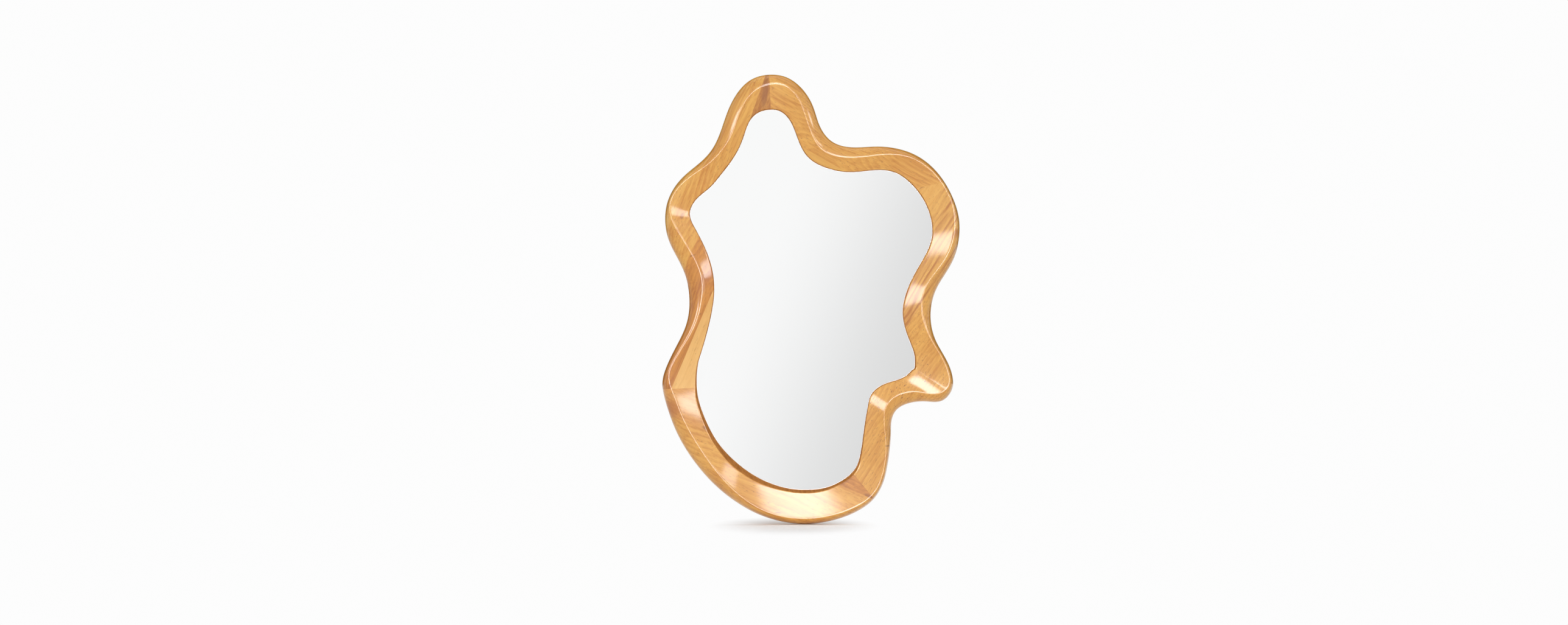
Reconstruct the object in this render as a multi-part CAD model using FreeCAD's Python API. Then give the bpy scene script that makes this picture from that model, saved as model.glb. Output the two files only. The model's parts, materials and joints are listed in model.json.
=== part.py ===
"""Wall mirror with a wavy, carved solid-wood frame. Millimetres, +Z up, the front looks along -Y.

The origin is midway between the two hangers, on the plane of the frame's back. The frame is
four plank blanks, each edge-glued from boards, joined at their ends by loose tenons and carved to
a ridge that wanders between the outer and the inner edge.
"""
import FreeCAD
import Part
import math
import os

Vector = FreeCAD.Vector

# ---- outline of the carved ring, clockwise from the apex, seen from the front -----------------
# outer edge x, z; inner edge x, z; where the ridge runs between them (0 outer, 1 inner);
# width of the eased band along the inner edge
STATIONS = [
    (-83.0, 277.0, -83.0, 206.5, 0.28, 2.0),
    (-50.0, 272.0, -64.5, 204.5, 0.25, 2.0),
    (-21.0, 252.0, -49.0, 193.5, 0.31, 2.0),
    (2.5, 217.0, -35.5, 171.5, 0.41, 2.0),
    (15.5, 179.0, -23.0, 139.0, 0.42, 2.0),
    (38.0, 146.0, -2.5, 108.0, 0.46, 2.0),
    (74.5, 132.0, 34.0, 89.0, 0.47, 2.0),
    (119.5, 132.5, 79.5, 81.5, 0.42, 2.0),
    (160.0, 131.0, 127.0, 85.5, 0.32, 2.0),
    (204.0, 118.5, 166.0, 81.5, 0.19, 2.0),
    (255.0, 78.5, 208.5, 49.5, 0.10, 2.0),
    (285.5, 26.5, 234.0, 8.0, 0.09, 2.0),
    (297.5, -25.0, 243.0, -35.0, 0.14, 2.0),
    (287.5, -87.5, 233.0, -76.5, 0.25, 2.0),
    (254.0, -147.0, 200.5, -136.0, 0.40, 2.0),
    (239.5, -202.0, 183.5, -199.5, 0.32, 2.0),
    (250.0, -256.0, 196.5, -254.5, 0.14, 2.0),
    (269.5, -291.5, 207.5, -286.5, 0.10, 2.5),
    (282.0, -322.0, 208.0, -302.0, 0.09, 3.0),
    (282.0, -355.0, 207.0, -311.0, 0.10, 3.0),
    (265.0, -375.5, 202.0, -315.5, 0.21, 2.5),
    (232.0, -378.5, 191.5, -325.5, 0.36, 2.0),
    (195.5, -382.0, 168.5, -336.0, 0.44, 2.0),
    (172.0, -394.5, 142.5, -345.0, 0.41, 2.0),
    (161.5, -416.0, 122.0, -362.0, 0.36, 2.0),
    (159.5, -446.5, 114.0, -386.5, 0.28, 2.0),
    (157.5, -478.0, 108.0, -420.5, 0.14, 2.5),
    (152.0, -513.5, 101.0, -471.0, 0.09, 3.0),
    (144.5, -541.5, 93.5, -502.5, 0.09, 4.0),
    (127.0, -572.0, 82.0, -520.5, 0.10, 5.0),
    (88.0, -600.5, 61.0, -537.0, 0.13, 4.5),
    (34.0, -618.5, 25.5, -551.5, 0.15, 5.5),
    (-18.5, -623.5, -12.0, -555.0, 0.15, 6.5),
    (-78.0, -614.0, -51.5, -551.0, 0.15, 6.5),
    (-137.0, -588.0, -101.5, -533.0, 0.21, 9.0),
    (-198.0, -540.5, -151.5, -498.5, 0.34, 10.5),
    (-250.5, -474.5, -195.0, -447.5, 0.42, 7.5),
    (-280.5, -413.5, -221.0, -390.0, 0.36, 5.0),
    (-296.0, -361.0, -229.0, -350.0, 0.27, 3.5),
    (-296.0, -326.5, -227.5, -308.5, 0.13, 2.5),
    (-279.5, -285.5, -220.0, -279.5, 0.16, 2.0),
    (-253.5, -232.5, -207.0, -234.0, 0.34, 2.0),
    (-244.0, -177.5, -195.0, -171.5, 0.52, 2.0),
    (-250.0, -132.5, -196.0, -125.0, 0.59, 2.0),
    (-266.0, -94.5, -208.0, -81.0, 0.52, 2.0),
    (-287.5, -48.0, -231.5, -32.5, 0.42, 2.0),
    (-292.5, -8.0, -243.0, -0.5, 0.22, 2.0),
    (-284.5, 31.0, -228.5, 28.5, 0.10, 2.0),
    (-259.5, 69.0, -204.0, 49.5, 0.16, 2.0),
    (-223.0, 100.5, -180.5, 76.5, 0.28, 2.0),
    (-197.5, 129.0, -158.5, 105.5, 0.38, 2.0),
    (-178.0, 173.0, -138.0, 144.5, 0.51, 2.0),
    (-154.5, 230.0, -123.0, 184.0, 0.48, 2.0),
    (-121.0, 266.5, -104.0, 201.5, 0.37, 2.0),
]
SECTIONS_PER_STATION = 3    # straight facets between them

# ---- carved section, heights above the back ---------------------------------------------------
RIDGE_HEIGHT = 38.0
SHOULDER_HEIGHT = 30.0
SHOULDER_SHARE = 0.28       # of the way from the outer edge to the ridge
SIDE_HEIGHT = 15.0          # where the frame is widest
BACK_DRAFT = 2.5            # how far the outer side leans in at the back
LIP_HEIGHT = 25.0
LIP_FALL = 0.9              # height that the eased band loses, per mm of its width

# ---- end joints between the blanks: outer point and inner point of each joint line -------------
APEX_JOINT = ((-84.1, 276.0), (-80.7, 210.0))
UPPER_RIGHT_JOINT = ((268.0, 61.1), (210.7, 48.9))
LOWER_RIGHT_JOINT = ((126.4, -572.8), (83.6, -521.5))
LOWER_LEFT_JOINT = ((-296.1, -352.9), (-229.0, -350.5))
TENON_LENGTH = 40.0         # across the joint
TENON_WIDTH = 30.0          # along the joint
TENON_THICKNESS = 8.0
TENON_HEIGHT = 18.0         # of its middle above the back
TENON_EASE = 0.1

# ---- seams between edge-glued boards: slope of the grain and distance of the line from the
# ---- origin, measured to the left of the grain direction ---------------------------------------
LEFT_GRAIN = 67.0
SHOULDER_SEAM = 252.5
WAIST_SEAM = 188.8
INNER_SEAM = 119.7
APEX_SEAM_SLOPE = 70.6
APEX_SEAM = 177.5
APEX_LEVEL = 60.0           # the apex board lies above this height, the waist boards below
TOP_GRAIN = -29.4
BULGE_SEAM = 105.8
RIGHT_GRAIN = 58.0
CORNER_SEAM = -197.7
NOSE_SEAM = -284.4
BOTTOM_GRAIN = -22.3
DARK_SEAM = -483.1
LOWER_SEAM = -554.5

# ---- what the frame holds: mirror pane, foam tape and back panel --------------------------------
PANE_THICKNESS = 4.0
PANE_REBATE = 6.0           # how far the pane's rebate reaches behind the frame
PANE_GAP = 0.75
TAPE_THICKNESS = 1.0
TAPE_WIDTH = 25.0
TAPE_BOTTOM = -260.0
TAPE_TOP = 40.0
TAPE_PLACES = (-120.0, -40.0, 40.0, 120.0)
PANEL_THICKNESS = 4.0
PANEL_REBATE = 14.0
PANEL_GAP = 0.75
PANEL_SUNK = 1.5            # the panel lies this far inside the frame's back
POINT_FIRST = 1.5           # station number of the first flat point that holds the panel
POINT_STEP = 3              # stations from one point to the next
POINT_WIDTH = 8.0
POINT_IN_WOOD = 6.0
POINT_ON_PANEL = 6.0
POINT_THICKNESS = 0.6

# ---- hangers: a folded strap with a swinging ring, held by two screws --------------------------
HANGER_PLACES = {"left": 46.206, "right": 11.373}   # station numbers near the hangers
HANGER_FROM_EDGE = 19.0     # from the frame's outer edge to the hanger's middle
STRAP_WIDTH = 14.0
STRAP_SHEET = 1.2
STRAP_LENGTH = 44.0
STRAP_SCREW_PLACES = (24.0, 37.0)
RING_BAR_RADIUS = 1.5
RING_BAR_EASE = 0.08
RING_SHEET = 2.5
RING_RIM = 3.0
RING_SIDE_GAP = 0.5
RING_DROP = 15.0            # from the bar's axis to the inside of the bow
RING_EAR = 2.0              # height of the ring's cheeks above the bar's axis
RING_REST_GAP = 0.3
HANGER_SCREW_RADIUS = 1.9
HANGER_SCREW_LENGTH = 16.0
HANGER_SCREW_HEAD = 3.4
HANGER_SCREW_HEAD_HEIGHT = 1.8
SCREW_EASE = 0.05

# ---- wall bumpers -------------------------------------------------------------------------------
BUMPER_STATIONS = (30, 34)
BUMPER_RADIUS = 6.0
BUMPER_HEIGHT = 5.5

# ---- the blanks: first and last station of the carving, past both joints, and the joints ---------
BLANKS = {
    "top": (-1.5, 12.0, APEX_JOINT, UPPER_RIGHT_JOINT),
    "right": (8.5, 31.0, UPPER_RIGHT_JOINT, LOWER_RIGHT_JOINT),
    "bottom": (27.5, 40.0, LOWER_RIGHT_JOINT, LOWER_LEFT_JOINT),
    "left": (36.5, 55.5, LOWER_LEFT_JOINT, APEX_JOINT),
}

UPRIGHT = 90.0              # slope of an upright line, in degrees
REACH = 1000.0              # past everything, for cutting shapes

# ---- values worked out from the ones above -----------------------------------------------------
PANEL_FLOOR = PANEL_SUNK + PANEL_THICKNESS
TAPE_FLOOR = PANEL_FLOOR + TAPE_THICKNESS
PANE_FLOOR = TAPE_FLOOR + PANE_THICKNESS
STRAP_THICKNESS = 2 * STRAP_SHEET
EYE_RADIUS = RING_BAR_RADIUS + RING_BAR_EASE
EYE_AXIS = EYE_RADIUS + STRAP_SHEET
JOINTS = {
    "apex": APEX_JOINT,
    "upper_right": UPPER_RIGHT_JOINT,
    "lower_right": LOWER_RIGHT_JOINT,
    "lower_left": LOWER_LEFT_JOINT,
}


def front(x, z, height=0.0):
    """A point seen from the front at x, z, this high above the frame's back."""
    return Vector(x, -height, z)


# ---- rails: closed smooth curves through the stations, all on the same parameters ---------------
def station_parameters():
    parameters = [0.0]
    for here, following in zip(STATIONS, STATIONS[1:] + STATIONS[:1]):
        outer_step = math.hypot(following[0] - here[0], following[1] - here[1])
        inner_step = math.hypot(following[2] - here[2], following[3] - here[3])
        parameters.append(parameters[-1] + (outer_step + inner_step) / 2)
    return parameters


PARAMETERS = station_parameters()


def rail(points):
    curve = Part.BSplineCurve()
    curve.interpolate(Points=points, PeriodicFlag=True, Parameters=PARAMETERS)
    return curve


def across(station, share):
    """A point between a station's outer and inner edge."""
    outer_x, outer_z, inner_x, inner_z = station[:4]
    return front(outer_x + (inner_x - outer_x) * share, outer_z + (inner_z - outer_z) * share)


def lip_share(station):
    outer_x, outer_z, inner_x, inner_z, _, band = station
    return 1 - band / math.hypot(inner_x - outer_x, inner_z - outer_z)


OUTER_RAIL = rail([across(station, 0) for station in STATIONS])
INNER_RAIL = rail([across(station, 1) for station in STATIONS])
RIDGE_RAIL = rail([across(station, station[4]) for station in STATIONS])
LIP_RAIL = rail([across(station, lip_share(station)) for station in STATIONS])


def parameter_at(place):
    """The rails' parameter at a station number, which may be a fraction or lie past the ends."""
    laps, place = divmod(place, len(STATIONS))
    before = int(place)
    step = PARAMETERS[before + 1] - PARAMETERS[before]
    return PARAMETERS[before] + step * (place - before)


# ---- the carved ring ------------------------------------------------------------------------------
def section(place):
    """The frame's section at a station number, open to behind the back so that it is cut flat."""
    parameter = parameter_at(place)
    outer = OUTER_RAIL.value(parameter)
    inner = INNER_RAIL.value(parameter)
    inward = (inner - outer).normalize()
    width = (inner - outer).Length
    ridge = (RIDGE_RAIL.value(parameter) - outer).dot(inward)
    lip = (LIP_RAIL.value(parameter) - outer).dot(inward)

    def point(run, height):
        return outer + inward * run + front(0, 0, height)

    corners = [
        point(2 * BACK_DRAFT, -SIDE_HEIGHT),
        point(0, SIDE_HEIGHT),
        point(ridge * SHOULDER_SHARE, SHOULDER_HEIGHT),
        point(ridge, RIDGE_HEIGHT),
        point(lip, LIP_HEIGHT),
        point(width, LIP_HEIGHT - LIP_FALL * (width - lip)),
        point(width, -SIDE_HEIGHT),
    ]
    return corners


def flat(corners):
    return Part.Face(Part.makePolygon(corners + corners[:1]))


def limb(first, last):
    """The carved ring from one station number to another, in flat three-cornered facets."""
    count = round((last - first) * SECTIONS_PER_STATION)
    sections = [section(first + index / SECTIONS_PER_STATION) for index in range(count + 1)]
    faces = [flat(sections[0]), flat(sections[-1])]
    for here, beyond in zip(sections, sections[1:]):
        for corner in range(len(here)):
            faces.append(flat([here[corner - 1], here[corner], beyond[corner]]))
            faces.append(flat([here[corner - 1], beyond[corner], beyond[corner - 1]]))
    skin = Part.Shell(faces)
    skin.sewShape()
    return Part.Solid(skin)


# ---- cutting shapes ---------------------------------------------------------------------------------
def upright_prism(corners):
    """A prism through the whole depth on corners x, z."""
    outline = Part.makePolygon([front(x, z, REACH) for x, z in corners + corners[:1]])
    return Part.Face(outline).extrude(front(0, 0, -2 * REACH))


def left_of(start, end):
    """Everything to the left of the line from start to end, seen from the front."""
    run = math.hypot(end[0] - start[0], end[1] - start[1])
    along = ((end[0] - start[0]) / run * REACH, (end[1] - start[1]) / run * REACH)
    aside = (-along[1], along[0])
    corners = [
        (start[0] - along[0], start[1] - along[1]),
        (start[0] + along[0], start[1] + along[1]),
        (start[0] + along[0] + aside[0], start[1] + along[1] + aside[1]),
        (start[0] - along[0] + aside[0], start[1] - along[1] + aside[1]),
    ]
    return upright_prism(corners)


def slab(slope, low=-REACH, high=REACH):
    """Everything between two lines of one slope, at these distances from the origin."""
    cosine = math.cos(math.radians(slope))
    sine = math.sin(math.radians(slope))
    corners = []
    for run, offset in ((-REACH, low), (REACH, low), (REACH, high), (-REACH, high)):
        corners.append((run * cosine - offset * sine, run * sine + offset * cosine))
    return upright_prism(corners)


def level_slab(low=-REACH, high=REACH):
    return slab(0.0, low, high)


def beside_opening(place, offset):
    """A point on the back at a station number, moved from the inner edge into the wood."""
    parameter = parameter_at(place)
    tangent = INNER_RAIL.tangent(parameter)[0]
    outward = Vector(-tangent.z, 0, tangent.x)
    return INNER_RAIL.value(parameter) + outward * offset


def plate(offset, floor, thickness):
    """A flat plate with the opening's outline, whose front face lies this high above the back."""
    count = len(STATIONS) * SECTIONS_PER_STATION
    corners = [beside_opening(index / SECTIONS_PER_STATION, offset) for index in range(count)]
    face = flat(corners)
    face.translate(front(0, 0, floor))
    return face.extrude(front(0, 0, -thickness))


def bar(start, end, width, floor, thickness):
    """A flat bar between two points of the back, whose front face lies this high above the back."""
    along = (end - start).normalize()
    aside = Vector(-along.z, 0, along.x) * (width / 2)
    face = flat([start - aside, end - aside, end + aside, start + aside])
    face.translate(front(0, 0, floor))
    return face.extrude(front(0, 0, -thickness))


# ---- joints and fasteners ---------------------------------------------------------------------------
INTO_WOOD = front(0, 0, 1)


def tenon(joint, ease=0.0):
    """The loose tenon of an end joint, square to it and midway between the edges."""
    outer = front(*joint[0])
    inner = front(*joint[1])
    inward = (inner - outer).normalize()
    across_joint = Vector(-inward.z, 0, inward.x) * (TENON_LENGTH / 2 + ease)
    middle = (outer + inner) / 2
    thickness = TENON_THICKNESS + 2 * ease
    floor = TENON_HEIGHT + thickness / 2
    width = TENON_WIDTH + 2 * ease
    return bar(middle - across_joint, middle + across_joint, width, floor, thickness)


def panel_points():
    """Flat steel points, pushed into the rebate's wall, that hold the panel in."""
    points = []
    for index in range(len(STATIONS) // POINT_STEP):
        place = POINT_FIRST + index * POINT_STEP
        start = beside_opening(place, PANEL_REBATE - POINT_ON_PANEL)
        end = beside_opening(place, PANEL_REBATE + POINT_IN_WOOD)
        points.append(bar(start, end, POINT_WIDTH, PANEL_SUNK, POINT_THICKNESS))
    return points


def hanger_places():
    """How far each hanger's middle is to the left or right."""
    places = {}
    for side, place in HANGER_PLACES.items():
        edge = OUTER_RAIL.value(parameter_at(place)).x
        places[side] = edge - math.copysign(HANGER_FROM_EDGE, edge)
    return places


def hanger_screw_seats(x):
    return [front(x, -place, -STRAP_THICKNESS) for place in STRAP_SCREW_PLACES]


def hanger_screw(seat, ease=0.0):
    head = Part.makeCylinder(HANGER_SCREW_HEAD, HANGER_SCREW_HEAD_HEIGHT, seat, -INTO_WOOD)
    shank = Part.makeCylinder(
        HANGER_SCREW_RADIUS + ease, HANGER_SCREW_LENGTH + ease, seat, INTO_WOOD
    )
    return head.fuse(shank)


# ---- hangers ------------------------------------------------------------------------------------------
def strap(x):
    """A strip folded double round the ring's bar, lying flat on the frame's back."""
    left = x - STRAP_WIDTH / 2
    tongue = Part.makeBox(
        STRAP_WIDTH, STRAP_THICKNESS, STRAP_LENGTH, Vector(left, 0, -STRAP_LENGTH)
    )
    axis_start = Vector(left, EYE_AXIS, 0)
    eye = Part.makeCylinder(EYE_AXIS, STRAP_WIDTH, axis_start, Vector(1, 0, 0))
    bore = Part.makeCylinder(EYE_RADIUS, STRAP_WIDTH, axis_start, Vector(1, 0, 0))
    holes = [hanger_screw(seat, SCREW_EASE) for seat in hanger_screw_seats(x)]
    return tongue.fuse(eye).cut([bore] + holes).removeSplitter()


def ring_half_opening():
    return STRAP_WIDTH / 2 + RING_SIDE_GAP


def bow(half_width, drop):
    """A plate as thick as the ring, straight-sided with a round bottom."""
    centre = half_width - drop
    top = Vector(0, 0, RING_EAR)
    corners = [
        Vector(half_width, 0, centre),
        top + Vector(half_width, 0, 0),
        top + Vector(-half_width, 0, 0),
        Vector(-half_width, 0, centre),
    ]
    round_end = Part.Arc(corners[-1], Vector(0, 0, -drop), corners[0]).toShape()
    outline = Part.Wire([round_end] + Part.makePolygon(corners).Edges)
    face = Part.Face(outline)
    face.translate(Vector(0, -RING_SHEET / 2, 0))
    return face.extrude(Vector(0, RING_SHEET, 0))


def ring(x):
    """The swinging ring, hanging down with its bow just clear of the strap."""
    half_opening = ring_half_opening()
    rim = bow(half_opening + RING_RIM, RING_DROP + RING_RIM)
    hole = bow(half_opening, RING_DROP)
    rod_start = Vector(-half_opening, 0, 0)
    rod = Part.makeCylinder(RING_BAR_RADIUS, 2 * half_opening, rod_start, Vector(1, 0, 0))
    shape = rim.cut(hole).fuse(rod)
    lift = STRAP_THICKNESS + RING_REST_GAP + RING_SHEET / 2 - EYE_AXIS
    tilt = math.degrees(math.asin(lift / RING_DROP))
    shape.rotate(Vector(0, 0, 0), Vector(1, 0, 0), tilt)
    shape.translate(Vector(x, EYE_AXIS, 0))
    return shape


# ---- wall bumpers ---------------------------------------------------------------------------------------
def bumper(place):
    """A round pad in the middle of the frame's width at a station number."""
    centre = across(STATIONS[place], 0.5)
    return Part.makeCylinder(BUMPER_RADIUS, BUMPER_HEIGHT, centre, -INTO_WOOD)


# ---- blanks and boards -----------------------------------------------------------------------------------
def hollows():
    """Everything that is taken out of the wood from behind and inside the joints."""
    taken = [
        Part.makeBox(2 * REACH, REACH, 2 * REACH, Vector(-REACH, 0, -REACH)),
        plate(PANE_REBATE, PANE_FLOOR, PANE_FLOOR),
        plate(PANEL_REBATE, PANEL_FLOOR, PANEL_FLOOR),
    ]
    taken += [tenon(joint, TENON_EASE) for joint in JOINTS.values()]
    taken += panel_points()
    for x in hanger_places().values():
        taken += [hanger_screw(seat, SCREW_EASE) for seat in hanger_screw_seats(x)]
    return taken


def blank(name, taken):
    """One blank: the carved ring between two joints, with its rebates and holes."""
    first, last, start_joint, end_joint = BLANKS[name]
    shape = limb(first, last)
    shape = shape.common(left_of(*start_joint))
    shape = shape.common(left_of(*reversed(end_joint)))
    near = [hole for hole in taken if hole.BoundBox.intersect(shape.BoundBox)]
    return shape.cut(near)


def left_boards(taken):
    whole = blank("left", taken)
    low = level_slab(high=APEX_LEVEL)
    shoulder = slab(LEFT_GRAIN, low=SHOULDER_SEAM)
    waist = slab(LEFT_GRAIN, INNER_SEAM, WAIST_SEAM).common(low)
    inner = slab(LEFT_GRAIN, high=INNER_SEAM).common(low)
    apex = slab(APEX_SEAM_SLOPE, high=APEX_SEAM).common(level_slab(low=APEX_LEVEL))
    return {
        "left_board_main": whole.cut([shoulder, waist, inner, apex]),
        "left_board_shoulder": whole.common(shoulder),
        "left_board_waist": whole.common(waist),
        "left_board_inner": whole.common(inner),
        "left_board_apex": whole.common(apex),
    }


def top_boards(taken):
    whole = blank("top", taken)
    return {
        "top_board_main": whole.common(slab(TOP_GRAIN, low=BULGE_SEAM)),
        "top_board_bulge": whole.common(slab(TOP_GRAIN, high=BULGE_SEAM)),
    }


def right_boards(taken):
    whole = blank("right", taken)
    return {
        "right_board_corner": whole.common(slab(RIGHT_GRAIN, low=CORNER_SEAM)),
        "right_board_striped": whole.common(slab(RIGHT_GRAIN, NOSE_SEAM, CORNER_SEAM)),
        "right_board_nose": whole.common(slab(RIGHT_GRAIN, high=NOSE_SEAM)),
    }


def bottom_boards(taken):
    whole = blank("bottom", taken)
    dark = whole.common(slab(BOTTOM_GRAIN, low=DARK_SEAM))
    return {
        "bottom_board_left": dark.common(slab(UPRIGHT, low=0.0)),
        "bottom_board_right": dark.common(slab(UPRIGHT, high=0.0)),
        "bottom_board_middle": whole.common(slab(BOTTOM_GRAIN, LOWER_SEAM, DARK_SEAM)),
        "bottom_board_lower": whole.common(slab(BOTTOM_GRAIN, high=LOWER_SEAM)),
    }


# ---- the whole part ----------------------------------------------------------------------------------------
def tape_strips():
    height = TAPE_TOP - TAPE_BOTTOM
    corners = [Vector(x - TAPE_WIDTH / 2, -TAPE_FLOOR, TAPE_BOTTOM) for x in TAPE_PLACES]
    return [Part.makeBox(TAPE_WIDTH, TAPE_THICKNESS, height, corner) for corner in corners]


def parts():
    """Every node by name."""
    taken = hollows()
    nodes = {}
    for make_boards in (left_boards, top_boards, right_boards, bottom_boards):
        nodes.update(make_boards(taken))
    for name, joint in JOINTS.items():
        nodes["tenon_" + name] = tenon(joint)
    nodes["mirror_pane"] = plate(PANE_REBATE - PANE_GAP, PANE_FLOOR, PANE_THICKNESS)
    nodes["foam_tape"] = Part.makeCompound(tape_strips())
    nodes["back_panel"] = plate(PANEL_REBATE - PANEL_GAP, PANEL_FLOOR, PANEL_THICKNESS)
    nodes["panel_points"] = Part.makeCompound(panel_points())
    for side, x in hanger_places().items():
        nodes["hanger_strap_" + side] = strap(x)
        nodes["d_ring_" + side] = ring(x)
        screws = [hanger_screw(seat) for seat in hanger_screw_seats(x)]
        nodes["hanger_screws_" + side] = Part.makeCompound(screws)
    nodes["wall_bumpers"] = Part.makeCompound([bumper(place) for place in BUMPER_STATIONS])
    return nodes


os.makedirs("parts", exist_ok=True)
for node, shape in parts().items():
    solids = shape.Solids
    print(node, len(solids), "solid(s)", round(shape.Volume), "mm3", shape.isValid())
    solid = solids[0] if len(solids) == 1 else Part.makeCompound(solids)
    solid.exportStep("parts/" + node + ".step")
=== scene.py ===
import json
import math

import bmesh
import bpy
import numpy as np
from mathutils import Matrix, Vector

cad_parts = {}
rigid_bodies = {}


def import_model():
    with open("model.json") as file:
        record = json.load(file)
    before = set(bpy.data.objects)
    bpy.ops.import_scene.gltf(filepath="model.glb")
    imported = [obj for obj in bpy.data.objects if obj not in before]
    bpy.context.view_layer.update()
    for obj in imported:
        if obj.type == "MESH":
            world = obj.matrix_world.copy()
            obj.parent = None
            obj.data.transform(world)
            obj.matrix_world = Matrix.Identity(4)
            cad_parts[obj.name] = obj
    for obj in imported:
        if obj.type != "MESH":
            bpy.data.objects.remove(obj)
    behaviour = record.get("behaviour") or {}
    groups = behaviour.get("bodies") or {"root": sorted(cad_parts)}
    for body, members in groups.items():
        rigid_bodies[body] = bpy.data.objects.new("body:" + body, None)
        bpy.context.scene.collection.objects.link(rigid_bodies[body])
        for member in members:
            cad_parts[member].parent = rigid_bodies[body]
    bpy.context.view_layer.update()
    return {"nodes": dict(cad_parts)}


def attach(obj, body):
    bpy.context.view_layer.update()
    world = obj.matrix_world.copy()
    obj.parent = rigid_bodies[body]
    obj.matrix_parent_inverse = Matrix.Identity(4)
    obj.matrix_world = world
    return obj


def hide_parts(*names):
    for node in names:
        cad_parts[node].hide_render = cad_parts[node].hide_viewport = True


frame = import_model()
nodes = frame["nodes"]
MM = 0.001
PER_METRE = 1000            # mm in a metre
WELD = 1e-6                 # points closer together than this, in metres, are one
ON_PLANE = 2e-6             # points this close to a plane, in metres, lie on it
CUT_SNAP = 1e-7             # the same for the plane of a cut

# ------------------------------------------------------------------ the carved ring's stations, mm
# outer edge x, z; inner edge x, z; ridge between them (0 outer, 1 inner); eased band;
# softness of the ridge
STATIONS = np.array([
    (-83.0, 277.0, -83.0, 206.5, 0.28, 2.0, 1.2),
    (-50.0, 272.0, -64.5, 204.5, 0.25, 2.0, 1.1),
    (-21.0, 252.0, -49.0, 193.5, 0.31, 2.0, 1.0),
    (2.5, 217.0, -35.5, 171.5, 0.41, 2.0, 1.0),
    (15.5, 179.0, -23.0, 139.0, 0.42, 2.0, 1.0),
    (38.0, 146.0, -2.5, 108.0, 0.46, 2.0, 1.0),
    (74.5, 132.0, 34.0, 89.0, 0.47, 2.0, 1.0),
    (119.5, 132.5, 79.5, 81.5, 0.42, 2.0, 1.0),
    (160.0, 131.0, 127.0, 85.5, 0.32, 2.0, 1.0),
    (204.0, 118.5, 166.0, 81.5, 0.19, 2.0, 1.1),
    (255.0, 78.5, 208.5, 49.5, 0.10, 2.0, 1.2),
    (285.5, 26.5, 234.0, 8.0, 0.09, 2.0, 1.6),
    (297.5, -25.0, 243.0, -35.0, 0.14, 2.0, 3.2),
    (287.5, -87.5, 233.0, -76.5, 0.25, 2.0, 3.0),
    (254.0, -147.0, 200.5, -136.0, 0.40, 2.0, 1.6),
    (239.5, -202.0, 183.5, -199.5, 0.32, 2.0, 1.3),
    (250.0, -256.0, 196.5, -254.5, 0.14, 2.0, 1.3),
    (269.5, -291.5, 207.5, -286.5, 0.10, 2.5, 1.4),
    (282.0, -322.0, 208.0, -302.0, 0.09, 3.0, 1.6),
    (282.0, -355.0, 207.0, -311.0, 0.10, 3.0, 1.8),
    (265.0, -375.5, 202.0, -315.5, 0.21, 2.5, 1.2),
    (232.0, -378.5, 191.5, -325.5, 0.36, 2.0, 1.0),
    (195.5, -382.0, 168.5, -336.0, 0.44, 2.0, 1.0),
    (172.0, -394.5, 142.5, -345.0, 0.41, 2.0, 1.0),
    (161.5, -416.0, 122.0, -362.0, 0.36, 2.0, 1.1),
    (159.5, -446.5, 114.0, -386.5, 0.28, 2.0, 1.3),
    (157.5, -478.0, 108.0, -420.5, 0.14, 2.5, 1.8),
    (152.0, -513.5, 101.0, -471.0, 0.09, 3.0, 2.2),
    (144.5, -541.5, 93.5, -502.5, 0.09, 4.0, 2.4),
    (127.0, -572.0, 82.0, -520.5, 0.10, 5.0, 2.4),
    (88.0, -600.5, 61.0, -537.0, 0.13, 4.5, 2.2),
    (34.0, -618.5, 25.5, -551.5, 0.15, 5.5, 2.0),
    (-18.5, -623.5, -12.0, -555.0, 0.15, 6.5, 2.0),
    (-78.0, -614.0, -51.5, -551.0, 0.15, 6.5, 1.6),
    (-137.0, -588.0, -101.5, -533.0, 0.21, 9.0, 1.1),
    (-198.0, -540.5, -151.5, -498.5, 0.34, 10.5, 1.0),
    (-250.5, -474.5, -195.0, -447.5, 0.42, 7.5, 1.0),
    (-280.5, -413.5, -221.0, -390.0, 0.36, 5.0, 1.1),
    (-296.0, -361.0, -229.0, -350.0, 0.27, 3.5, 1.6),
    (-296.0, -326.5, -227.5, -308.5, 0.13, 2.5, 3.2),
    (-279.5, -285.5, -220.0, -279.5, 0.16, 2.0, 4.2),
    (-253.5, -232.5, -207.0, -234.0, 0.34, 2.0, 4.4),
    (-244.0, -177.5, -195.0, -171.5, 0.52, 2.0, 4.2),
    (-250.0, -132.5, -196.0, -125.0, 0.59, 2.0, 3.4),
    (-266.0, -94.5, -208.0, -81.0, 0.52, 2.0, 1.6),
    (-287.5, -48.0, -231.5, -32.5, 0.42, 2.0, 1.1),
    (-292.5, -8.0, -243.0, -0.5, 0.22, 2.0, 1.5),
    (-284.5, 31.0, -228.5, 28.5, 0.10, 2.0, 1.6),
    (-259.5, 69.0, -204.0, 49.5, 0.16, 2.0, 1.3),
    (-223.0, 100.5, -180.5, 76.5, 0.28, 2.0, 1.2),
    (-197.5, 129.0, -158.5, 105.5, 0.38, 2.0, 1.1),
    (-178.0, 173.0, -138.0, 144.5, 0.51, 2.0, 1.0),
    (-154.5, 230.0, -123.0, 184.0, 0.48, 2.0, 1.0),
    (-121.0, 266.5, -104.0, 201.5, 0.37, 2.0, 1.1),
])
COUNT = len(STATIONS)
STEPS = 14                  # mesh rows from one station to the next
RIDGE_HEIGHT = 38.0
SIDE_HEIGHT = 15.0
BACK_DRAFT = 2.5
LIP_HEIGHT = 25.0
LIP_FALL = 0.9
PANE_FLOOR = 10.5
PANE_REBATE = 6.0
PANEL_FLOOR = 5.5
PANEL_REBATE = 14.0
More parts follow.
